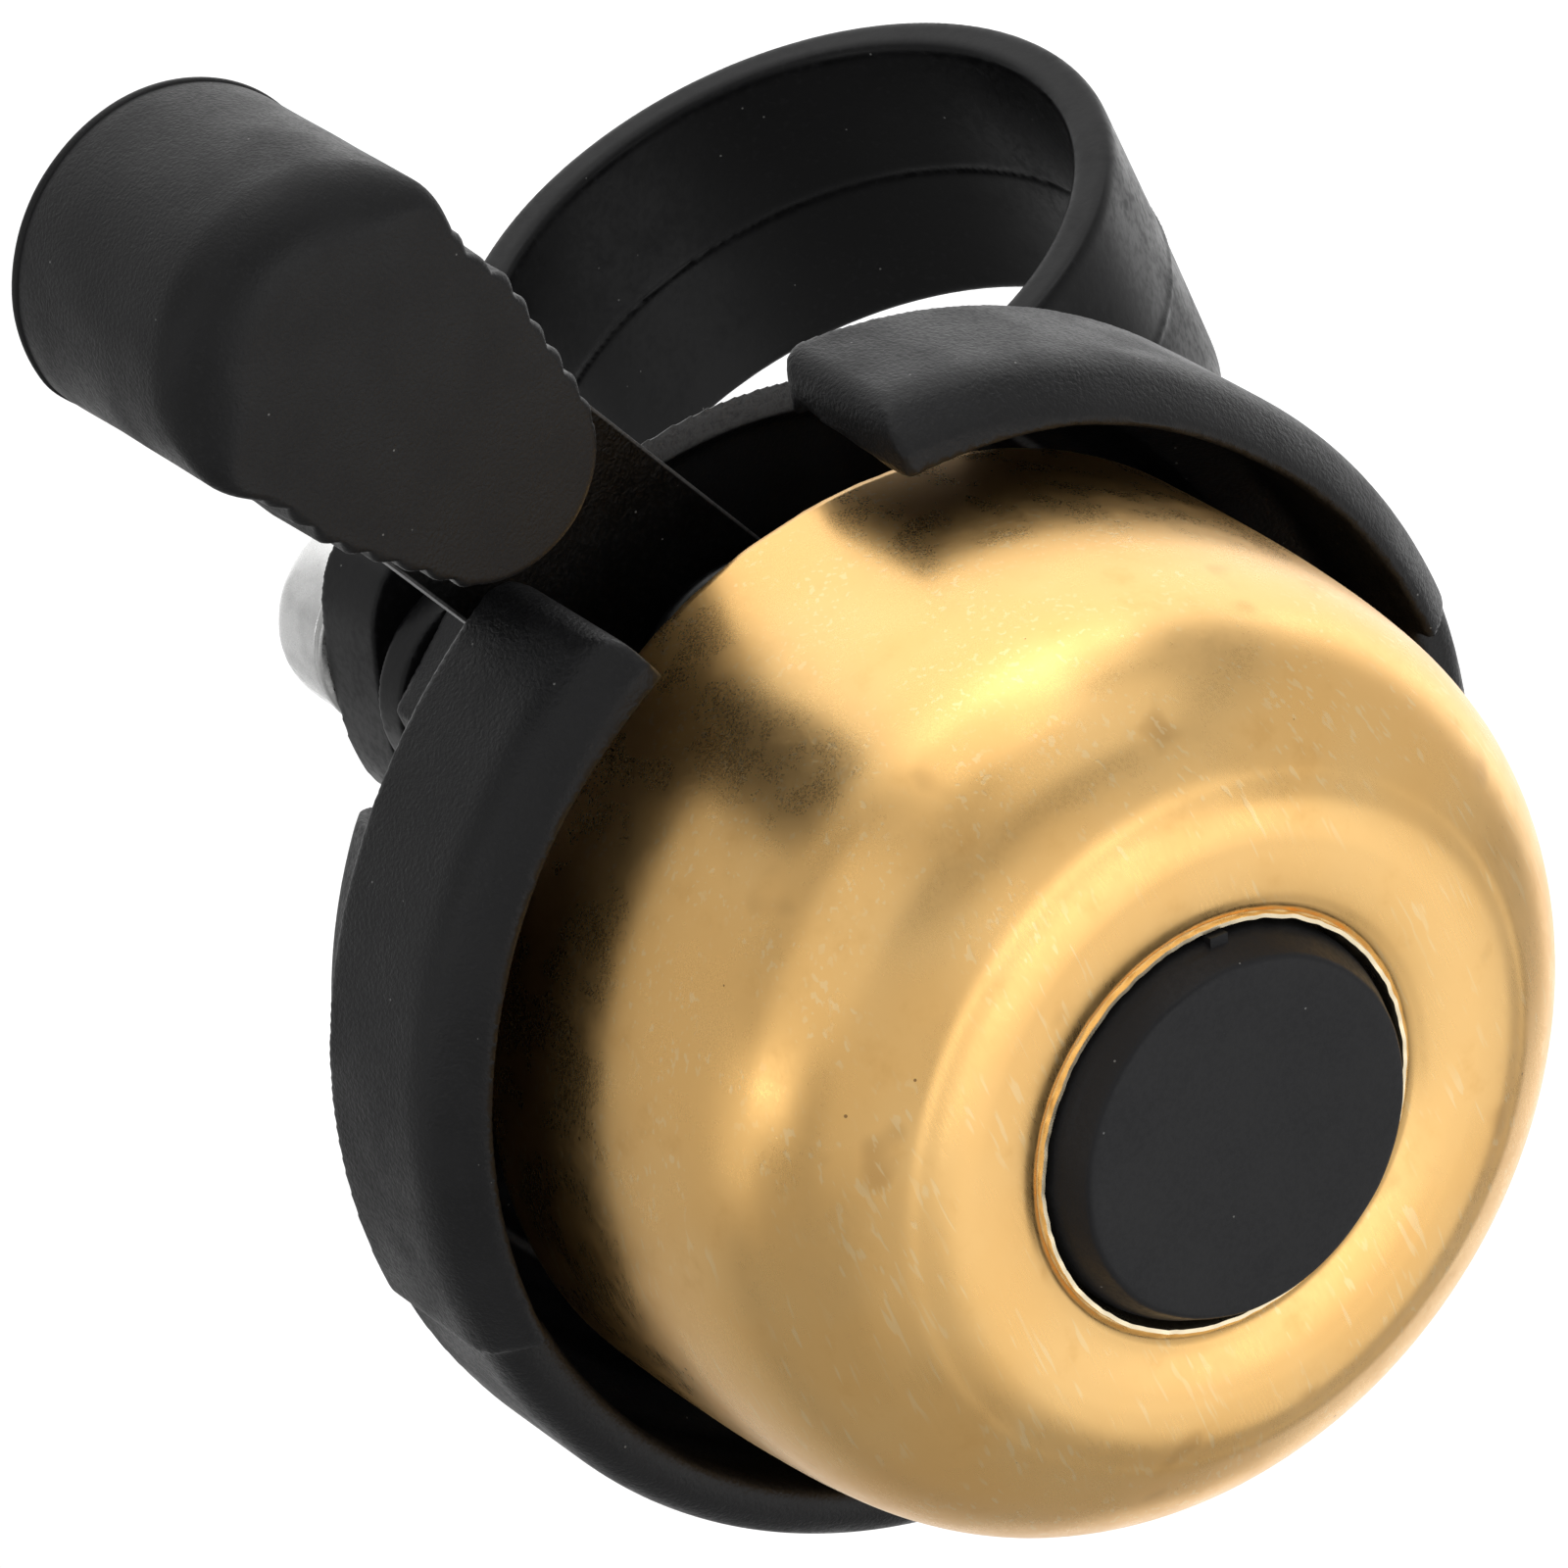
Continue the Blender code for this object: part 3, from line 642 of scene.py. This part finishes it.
def corner_tool(side):
    """Takes the outer corner off a hood's end, to a round."""
    radius = 1.1
    start = radians(HOOD_START - 0.3)
    across = [radius * (1 - cos(radians(t))) for t in range(0, 91, 10)]
    back = [radius * (1 - sin(radians(t))) for t in range(0, 91, 10)]
    line = []
    for inset, along in zip(back, across):
        r = HOOD_R - inset
        a = start + along / HOOD_R
        line.append((r * cos(a), side * r * sin(a)))
    a0 = start - 0.05
    out = HOOD_R + 1.2
    line.append((out * cos(start + 0.09), side * out * sin(start + 0.09)))
    line.append((out * cos(a0), side * out * sin(a0)))
    line.append(((HOOD_R - radius) * cos(a0), side * (HOOD_R - radius) * sin(a0)))
    return prism(line, -5.5, 4)


def polar(angle, radius, z=0.0):
    return Vector((radius * cos(radians(angle)), radius * sin(radians(angle)), z)) * MM


def base():
    piece = solid("guard_base", shell())
    cut(piece, gap_tool(rounded_gap()))
    for side in (1, -1):
        cut(piece, corner_tool(side))
    edge = arc(0, 0, 24, HOOD_START + 1, WINDOW_END + 0.6, 25)
    edge += arc(0, 0, 14.0, WINDOW_END + 0.6, HOOD_START + 1, 25)
    cut(piece, prism(edge, -13.5, -9.8))
    stalk_rear = SLIT / 2 + EAR_FRONT + 0.15 - RIM.z / MM
    hexagon = []
    for i in range(6):
        turn = 60 * i
        hexagon += arc(4.1 * cos(radians(turn)), 4.1 * sin(radians(turn)), 0.4,
                       turn - 30, turn + 30, 5)
    at = Vector((SCREW.x, SCREW.y, RIM.z)) - RIM
    flare = [(1.0, stalk_rear), (1.0, -14.6), (1.05, -13.9), (1.16, -13.2), (1.35, -12.6),
             (1.35, -11.9)]
    stalk = loft([[(x * s, y * s, z) for x, y in hexagon] for s, z in flare])
    cut(piece, stalk, 'UNION', at)
    cut(piece, rod(6.0, FLOOR_BOTTOM - 1.6, FLOOR_BOTTOM + 0.8), 'UNION')
    cut(piece, rod(BOSS_R, FLOOR_TOP - 0.5, -6.0), 'UNION')
    pivot = PIVOT - RIM
    cut(piece, rod(3.0, FLOOR_TOP - 0.7, FLOOR_TOP + 0.9), 'UNION', pivot)
    along, aside = 1.0, ARM_HALF + 0.15 + 1.2
    a = radians(ARM_ANGLE)
    peg = Vector((along * cos(a) - aside * sin(a), along * sin(a) + aside * cos(a), 0)) * MM
    cut(piece, rod(1.2, FLOOR_TOP - 0.6, -6.5, 32), 'UNION', pivot + peg)
    cut(piece, rod(1.0, FLOOR_TOP - 0.6, -4.1, 32), 'UNION', pivot + polar(PEG_ANGLE, PEG_AT))
    moulded(piece, 0.17, 5)
    cut(piece, rod(3.35, FLOOR_TOP + 1.95, 0))
    cut(piece, rod(1.6, -20, 0), location=pivot)
    cut(piece, rod(2.85, stalk_rear - 1, stalk_rear + 6.3), location=at)
    cut(piece, rod(2.15, stalk_rear + 5.3, stalk_rear + 9.3), location=at)
    crisp(piece, 45)
    piece.location = RIM
    return show(piece, "bell", BLACK, "black_plastic", "base")


# ---------------------------------------------------------------- lever


def grip_outline():
    """Closed outline round the pad's two circles: points with their outward normals."""
    (near, r0), (far, r1) = PAD_NEAR, PAD_FAR
    round_steps, side_steps = 108, 180
    corner = degrees(acos((r0 - r1) / (far - near)))
    straight = sqrt((far - near) ** 2 - (r1 - r0) ** 2)
    parts = []
    for cx, r, start, end in ((far, r1, -corner, corner), (near, r0, corner, 360 - corner)):
        for i in range(round_steps):
            t = radians(start + (end - start) * i / (round_steps - 1))
            parts.append((cx + r * cos(t), r * sin(t), cos(t), sin(t)))
        nx, ny = cos(radians(end)), sin(radians(end))
        for i in range(1, side_steps):
            k = straight * i / side_steps
            parts.append((cx + r * nx - ny * k, r * ny + nx * k, nx, ny))
    return parts


def grip():
    """Pad, from its foot up: rounded edge, parting line, ribbed wall, rounded top, flat face."""
    outline = grip_outline()
    foot, foot_round = -PAD_HEIGHT, 0.25
    levels = []                                # (height, inset, share of the ribs)
    for t in range(0, 91, 15):
        levels.append((foot + foot_round * (1 - cos(radians(t))),
                       foot_round * (1 - sin(radians(t))), 0.0))
    levels += [(foot + 0.38, 0.02, 0.0), (foot + 0.42, 0.09, 0.0), (foot + 0.5, 0.08, 0.2)]
    levels += [(foot + 0.9 + 0.45 * i, 0.06, 1.0) for i in range(16)]
    body = [[grip_point(*p, z, inset, flute) for p in outline] for z, inset, flute in levels]
    near_fillet, far_fillet = 0.35, 2.2
    for t in range(0, 91, 6):
        ring = []
        for x, y, nx, ny in outline:
            share = max(0.0, min(1.0, (x - 25.2) / 3.6))
            share = share * share * (3 - 2 * share)
            fillet = near_fillet + (far_fillet - near_fillet) * share
            z = -fillet * (1 - sin(radians(t)))
            inset = 0.06 + fillet * (1 - cos(radians(t)))
            ring.append(grip_point(x, y, nx, ny, z, inset, 1.0 - t / 90))
        body.append(ring)
    last = body[-1]
    cx = sum(p[0] for p in last) / len(last)
    for share in (0.985, 0.8, 0.5, 0.2):
        body.append([(cx + (x - cx) * share, y * share, z) for x, y, z in last])
    piece = solid("thumb_grip", loft(body), PIVOT, (0, 0, radians(ARM_ANGLE)))
    play = 0.15
    tongue = TONGUE + play
    slot = block(5, 25.15, -tongue, tongue, ARM_BOTTOM - play, ARM_TOP + play)
    cut(piece, slot, 'DIFFERENCE', PIVOT, (0, 0, radians(ARM_ANGLE)))
    crisp(piece, 60)
    return show(piece, "lever", PAD, "pad_plastic", "thumb_pad")


def grip_point(x, y, nx, ny, z, inset, flute):
    """A point of the pad's wall: ribs on both sides, a waist near the broad end, some draft."""
    if RIB_START < x < RIB_END and abs(ny) > 0.8:
        wave = abs(sin(pi * (x - RIB_START) / RIB_PITCH))
        ends = min(1.0, (x - RIB_START) / 0.5, (RIB_END - x) / 0.5)
        rib = (0.26 * wave ** 1.1 - 0.2) * ends
        rib += 0.05 * noise.noise(Vector((x * 1.9, ny * 3, z * 0.8)))
        inset -= rib * flute
    depth = min(-z / PAD_HEIGHT, 1.0)
    waist_at = 24.2
    reach = 2.8 if x < waist_at else 2.4
    waist = max(0.0, 1 - ((x - waist_at) / reach) ** 2) ** 2
    waist *= max(0.0, min(1.0, (abs(ny) - 0.6) / 0.3))
    inset += 0.62 * waist * (1 - (0.6 if ny > 0 else 1.0) * depth)
    inset += 0.02 * noise.noise(Vector((x * 0.5, y * 0.5, z * 0.4)))
    draft = 0.7 * depth * max(0.0, 22.0 - x) / 8
    return (x - nx * inset + draft, y - ny * inset, z)


def lever_plate():
    shoulder = PAD_NEAR[0] - 2.7
    side = [(shoulder, ARM_HALF), (shoulder, 3.1), (14.55, TONGUE), (25.0, TONGUE)]
    outline = side[::-1] + arc(0, 0, ARM_HALF, 90, 270, 33) + [(x, -y) for x, y in side]
    piece = solid("lever_plate", prism(outline[::-1], ARM_BOTTOM, ARM_TOP))
    cut(piece, rod(HUB_R, ARM_BOTTOM - 1.5, -4.4), 'UNION')
    tail = (0, 0, radians(TAIL_ANGLE))
    cut(piece, block(1.5, 7.0, -1.0, 1.5, ARM_BOTTOM + 0.1, ARM_TOP - 0.1), 'UNION', turn=tail)
    cut(piece, block(4.8, 6.9, 0.35, 1.55, ARM_TOP - 0.7, -1.5), 'UNION', turn=tail)
    cut(piece, rod(2.1, -12, 0))
    cut(piece, rod(0.7, -3, 3, 32), location=polar(TAIL_ANGLE, RIVET_AT, -3.0),
        turn=(pi / 2, 0, tail[2]))
    piece.location = PIVOT
    piece.rotation_euler = (0, 0, radians(ARM_ANGLE))
    bevelled(piece, 0.14)
    return show(piece, "lever", LEVER, "lever_plastic", "lever_arm")


# ---------------------------------------------------------------- strap clamp


def strap():
    half = BAND_WIDTH / 2
    ease, seam = 0.35, 0.17                    # edge rounding; half width of the moulding seam
    outer = [(BAND_OUT - 0.06, half - ease), (BAND_OUT - 0.16, half - 0.1), (BAND_OUT - ease, half)]
    inner = [(BAR_R + 0.3, half), (BAR_R + 0.08, half - 0.1), (BAR_R, half - ease)]
    profile = [(BAND_OUT, -seam), (BAND_OUT + 0.07, 0), (BAND_OUT - 0.02, seam)] + outer + inner
    profile += [(BAR_R, seam), (BAR_R + 0.16, 0.03), (BAR_R + 0.03, -seam)]
    profile += [(r, -x) for r, x in (outer + inner)[::-1]]
    bm = lathe(profile, 224)
    bmesh.ops.rotate(bm, verts=bm.verts, matrix=Matrix.Rotation(pi / 2, 3, 'Y'))
    piece = solid("strap_band", bm)
    rear, front = -SLIT / 2 - EAR_REAR, SLIT / 2 + EAR_FRONT
    cut(piece, prism(rear_ear(half - 0.2), rear, 0), 'UNION')
    cut(piece, prism(ear(4.4, 4.15), -0.25, front), 'UNION')
    cut(piece, block(-9, 9, 4, 26, -SLIT / 2, SLIT / 2))
    moulded(piece, 0.12, 4)
    cut(piece, rod(SCREW_HOLE, -12, 12), location=SCREW)
    crisp(piece, 45)
    return show(piece, "bell", STRAP, "strap_plastic", "clamp_band")


def ear(half, radius):
    """Outline of the ear on the stalk's side, from the band to a round end."""
    root, neck = BAR_R + 0.2, SCREW_Y - radius - 0.3
    side = [(half, root), (half, neck)]
    return side + arc(0, SCREW_Y, radius, -20, 200, 41) + [(-x, y) for x, y in side[::-1]]


def rear_ear(half):
    """The ear under the screw head: a wide tab, one corner of its end rounded off more."""
    end = curved([(half, -0.5), (half - 0.5, 1.15), (4.1, 2.3), (2.7, 2.95), (1.2, 3.45),
                  (-0.4, 3.85), (-2.0, 4.12), (-3.4, 4.1), (-4.4, 3.75), (-5.2, 2.6),
                  (-half, 0.8)], 4)
    return [(half, BAR_R + 0.2)] + [(x, SCREW_Y + y) for x, y in end] + [(-half, BAR_R + 0.2)]


def clamp_parts():
    rear = -SLIT / 2 - EAR_REAR
    washer = solid("screw_washer", tube(SCREW_HOLE, 3.9, rear - 0.6, rear - 0.1), SCREW)
    crisp(washer, 50)
    show(washer, "bell", ZINC, "zinc_steel", "clamp_washer")
    seat = rear - 0.7
    head = curved([(3.7, seat), (3.78, seat - 0.12), (3.8, seat - 0.8), (3.78, seat - 2.1),
                   (3.6, seat - 2.75), (3.1, seat - 3.2), (1.6, seat - 3.4), (0, seat - 3.45)], 5)
    shank = [(0, 8.6), (1.6, 8.6), (1.95, 8.2), (1.95, seat)]
    screw = solid("pan_screw", lathe(shank + head, 96), SCREW)
    wing = [(-2.0, -0.36), (2.0, -0.36), (2.0, 0.36), (-2.0, 0.36)]
    for turn in (0, pi / 2):
        slot = loft([[(x * k, y * k, z) for x, y in wing]
                     for k, z in ((1.05, seat - 4.2), (0.62, seat - 1.7))])
        cut(screw, slot, 'DIFFERENCE', SCREW, (0, 0, turn + 0.4))
    crisp(screw, 50)
    show(screw, "bell", SCREW_STEEL, "screw_steel", "clamp_screw")


# ---------------------------------------------------------------- small parts inside


def spring():
    """Torsion spring round the lever's hub: one leg on the lever's tail, one on the base's peg."""
    coil, wire = 4.1, 0.3
    a = radians(ARM_ANGLE + TAIL_ANGLE)
    leg = (6.6, -0.1)
    moving = (leg[0] * cos(a) - leg[1] * sin(a), leg[0] * sin(a) + leg[1] * cos(a))
    reach, fixed_at = 7.9, radians(122.5)
    fixed = (reach * cos(fixed_at), reach * sin(fixed_at))
    start = atan2(moving[1], moving[0]) - acos(coil / hypot(*moving))
    end = fixed_at + acos(coil / reach) - 6 * pi
    low, high = -5.85, -4.5
    steps = 180
    points = [(*moving, low)]
    for i in range(steps + 1):
        t = start + (end - start) * i / steps
        points.append((coil * cos(t), coil * sin(t), low + (high - low) * i / steps))
    points.append((*fixed, high))
    curve = bpy.data.curves.new("spring_wire", 'CURVE')
    curve.dimensions = '3D'
    curve.bevel_depth = wire * MM
    curve.bevel_resolution = 3
    curve.use_fill_caps = True
    spline = curve.splines.new('POLY')
    spline.points.add(len(points) - 1)
    for slot, (x, y, z) in zip(spline.points, points):
        slot.co = (x * MM, y * MM, z * MM, 1)
    drawn = placed("spring_curve", curve)
    mesh = finished_mesh(drawn)
    bpy.data.objects.remove(drawn)
    mesh.transform(Matrix.Translation(PIVOT))
    mesh.shade_smooth()
    piece = placed("spring_wire", mesh)
    piece.data.materials.clear()
    piece.data.materials.append(SPRING)
    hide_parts("return_spring")
    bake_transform(piece)


def carried_over():
    """CAD nodes whose shape is right: a finer edge and a finished material."""
    steel = ("dome_screw", "dome_lock_washer", "dome_post", "pivot_pin", "pivot_washer",
             "pivot_clip", "striker_rivet", "striker_leaf")
    looks = dict.fromkeys(steel, ZINC)
    looks |= {"dome_washer": FIBRE, "clamp_insert": INSERT, "pivot_bush": NYLON,
              "striker_hammer": HAMMER}
    for name, material in looks.items():
        node = frame["nodes"][name]
        node.data.materials.clear()
        node.data.materials.append(material)
        bevelled(node, 0.07, 2, 40)


# ---------------------------------------------------------------- camera, floor and light


def bearing(azimuth, elevation):
    """Unit vector towards an azimuth from +X and an elevation, degrees."""
    a, e = radians(azimuth), radians(elevation)
    return Vector((cos(a) * cos(e), sin(a) * cos(e), sin(e)))


def camera():
    azimuth, elevation, roll, distance = 24.667, 49.07, -121.6, 0.32626
    aim = RIM + Vector((6.45, 0.9, -4.45)) * MM
    data = bpy.data.cameras.new("camera")
    data.sensor_width = 36
    data.lens = 227.3
    data.clip_start = 0.01
    obj = placed("camera", data)
    a, t = radians(azimuth), radians(roll)
    back = bearing(azimuth, elevation)
    level = Vector((-sin(a), cos(a), 0))
    upright = back.cross(level)
    right = level * cos(t) - upright * sin(t)
    up = level * sin(t) + upright * cos(t)
    place = Matrix((right, up, back)).transposed().to_4x4()
    place.translation = aim + back * distance
    obj.matrix_world = place
    bpy.context.scene.camera = obj


def panel(name, size, radiance):
    """Rectangular light of an even brightness, facing down."""
    data = bpy.data.lights.new(name, 'AREA')
    data.shape = 'RECTANGLE'
    data.size, data.size_y = size
    data.energy = radiance * pi * size[0] * size[1]
    obj = placed(name, data)
    obj.visible_camera = False
    return obj


def soft_light(name, azimuth, elevation, distance, size, radiance):
    """Soft box at a bearing from the bell, turned to face it."""
    obj = panel(name, size, radiance)
    back = bearing(azimuth, elevation)
    obj.location = RIM + back * distance
    obj.rotation_euler = back.to_track_quat('Z', 'Y').to_euler()


def stage():
    floor = solid("floor", block(-1500, 1500, -1500, 1500, -152, -150))
    n = Nodes("floor_white")
    n.shader.inputs["Base Color"].default_value = (0.75, 0.75, 0.75, 1)
    n.shader.inputs["Roughness"].default_value = 0.9
    n.shader.inputs["Specular IOR Level"].default_value = 0.0
    floor.data.materials.append(n.material)
    world = bpy.data.worlds.new("studio")
    bpy.context.scene.world = world
    world.use_nodes = True
    world.node_tree.nodes["Background"].inputs[0].default_value = (1, 1, 1, 1)
    world.node_tree.nodes["Background"].inputs[1].default_value = 0.38
    soft_light("top_box", -110, 78, 0.6, (0.5, 0.5), 0.7)
    soft_light("top_heart", -125, 77, 0.55, (0.24, 0.24), 0.58)
    soft_light("far_wall", -150, 40, 0.6, (0.42, 0.5), 0.57)
    soft_light("left_wall", -98, 27, 0.6, (0.5, 0.48), 0.27)
    soft_light("left_low", -100, -10, 0.6, (0.55, 0.24), 0.56)
    soft_light("key_wall", -35, 30, 0.6, (0.45, 0.35), 0.53)
    soft_light("key_box", -38, -8, 0.58, (0.3, 0.3), 0.8)
    soft_light("key_wide", -18, 0, 0.6, (0.4, 0.4), 0.88)
    soft_light("front_wall", 35, 15, 0.6, (0.5, 0.5), 0.42)
    soft_light("front_high", 60, 55, 0.6, (0.5, 0.4), 0.28)
    soft_light("strip_box", 66, 8, 0.55, (0.12, 0.2), 1.55)
    soft_light("strip_wide", 75, -10, 0.58, (0.3, 0.25), 0.5)
    soft_light("rear_high", 150, 60, 0.6, (0.42, 0.36), 0.25)
    # Below the bell, so that it lights only the floor.
    panel("floor_wash", (2.4, 1.2), 1.1).location = (-0.2, -0.57, -0.09)
    bpy.context.scene.view_settings.view_transform = 'Standard'


# ---------------------------------------------------------------- everything

camera()
stage()
dome()
cap()
base()
grip()
lever_plate()
strap()
clamp_parts()
spring()
carried_over()
